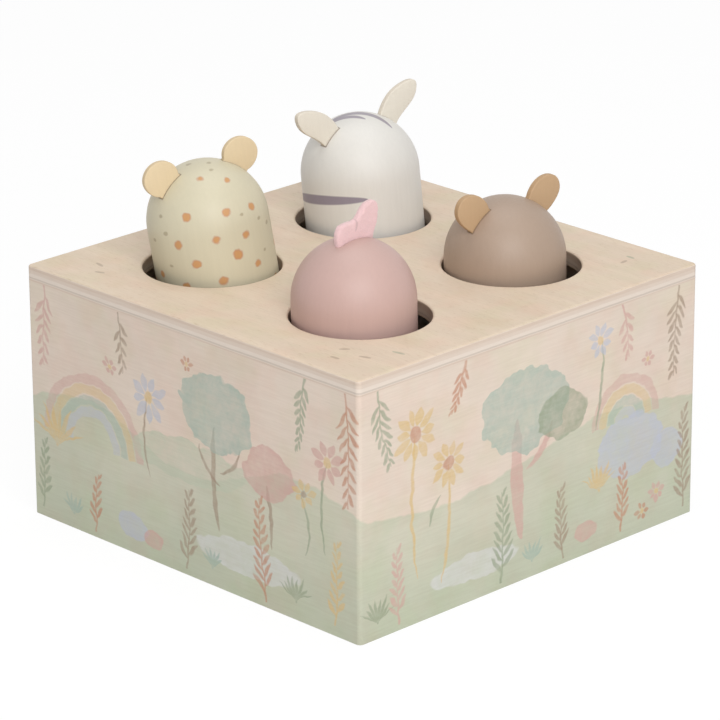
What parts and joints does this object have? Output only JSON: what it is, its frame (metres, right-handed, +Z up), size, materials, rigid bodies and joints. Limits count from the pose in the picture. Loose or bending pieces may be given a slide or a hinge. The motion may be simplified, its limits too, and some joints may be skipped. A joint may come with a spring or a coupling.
{
  "type": "pop up animal toy",
  "caption": "Square plywood box with round holes in its top, in which turned wooden animal pegs stand loosely on coil springs, to be pressed down or lifted out.",
  "frame": {"origin": "middle of the box's underside", "axes": "+Z up; the front wall faces -Y and the right wall faces +X; the animals look along -X"},
  "size_m": [0.149, 0.149, 0.1267],
  "materials": {
    "printed_board": "plywood with a pale printed face under satin lacquer, layered edges",
    "printed_wall": "plywood with a printed pastel meadow under satin lacquer",
    "bare_plywood": "bare birch plywood, fine sanded",
    "bare_beech": "bare turned or planed beech",
    "screw_steel": "zinc plated",
    "spring_steel": "drawn spring wire",
    "zebra_paint": "off-white satin paint with dark stripes",
    "leopard_paint": "cream satin paint with orange-brown spots",
    "flamingo_paint": "dusty pink satin paint",
    "bear_paint": "grey-brown satin paint",
    "zebra_ear_paint": "thin plywood, off-white paint",
    "leopard_ear_paint": "thin plywood, pale ochre paint",
    "bear_ear_paint": "thin plywood, light brown paint",
    "crest_felt": "thick pink wool felt"
  },
  "bodies": {
    "box": {"top_board": "printed_board", "front_wall": "printed_wall", "right_wall": "printed_wall", "back_wall": "printed_wall", "left_wall": "printed_wall", "base_board": "bare_plywood", "front_left_batten": "bare_beech", "front_right_batten": "bare_beech", "back_right_batten": "bare_beech", "back_left_batten": "bare_beech", "batten_screws": "screw_steel", "zebra_seat": "bare_beech", "leopard_seat": "bare_beech", "flamingo_seat": "bare_beech", "bear_seat": "bare_beech", "seat_screws": "screw_steel"},
    "zebra_spring": {"zebra_spring": "spring_steel"},
    "zebra": {"zebra_peg": "zebra_paint", "zebra_left_ear": "zebra_ear_paint", "zebra_right_ear": "zebra_ear_paint"},
    "leopard_spring": {"leopard_spring": "spring_steel"},
    "leopard": {"leopard_peg": "leopard_paint", "leopard_left_ear": "leopard_ear_paint", "leopard_right_ear": "leopard_ear_paint"},
    "flamingo_spring": {"flamingo_spring": "spring_steel"},
    "flamingo": {"flamingo_peg": "flamingo_paint", "flamingo_crest": "crest_felt"},
    "bear_spring": {"bear_spring": "spring_steel"},
    "bear": {"bear_peg": "bear_paint", "bear_left_ear": "bear_ear_paint", "bear_right_ear": "bear_ear_paint"}
  },
  "joints": [
    {"name": "zebra_press", "type": "slide", "parent": "box", "child": "zebra_spring", "axis": [0, 0, 1], "range_m": [-0.018, 0], "stiffness_N_per_m": 300, "springref_m": 0.003, "deforming": ["zebra_spring"]},
    {"name": "zebra_lift", "type": "slide", "parent": "zebra_spring", "child": "zebra", "axis": [-0.0603, -0.0603, 0.9964], "range_m": [0, 0.065]},
    {"name": "leopard_press", "type": "slide", "parent": "box", "child": "leopard_spring", "axis": [0, 0, 1], "range_m": [-0.018, 0], "stiffness_N_per_m": 300, "springref_m": 0.003, "deforming": ["leopard_spring"]},
    {"name": "leopard_lift", "type": "slide", "parent": "leopard_spring", "child": "leopard", "axis": [-0.1068, -0.1068, 0.9885], "range_m": [0, 0.065]},
    {"name": "flamingo_press", "type": "slide", "parent": "box", "child": "flamingo_spring", "axis": [0, 0, 1], "range_m": [-0.018, 0], "stiffness_N_per_m": 300, "springref_m": 0.003, "deforming": ["flamingo_spring"]},
    {"name": "flamingo_lift", "type": "slide", "parent": "flamingo_spring", "child": "flamingo", "axis": [-0.013, -0.013, 0.9998], "range_m": [0, 0.065]},
    {"name": "bear_press", "type": "slide", "parent": "box", "child": "bear_spring", "axis": [0, 0, 1], "range_m": [-0.018, 0], "stiffness_N_per_m": 300, "springref_m": 0.003, "deforming": ["bear_spring"]},
    {"name": "bear_lift", "type": "slide", "parent": "bear_spring", "child": "bear", "axis": [-0.0086, -0.0086, 0.9999], "range_m": [0, 0.065]}
  ]
}
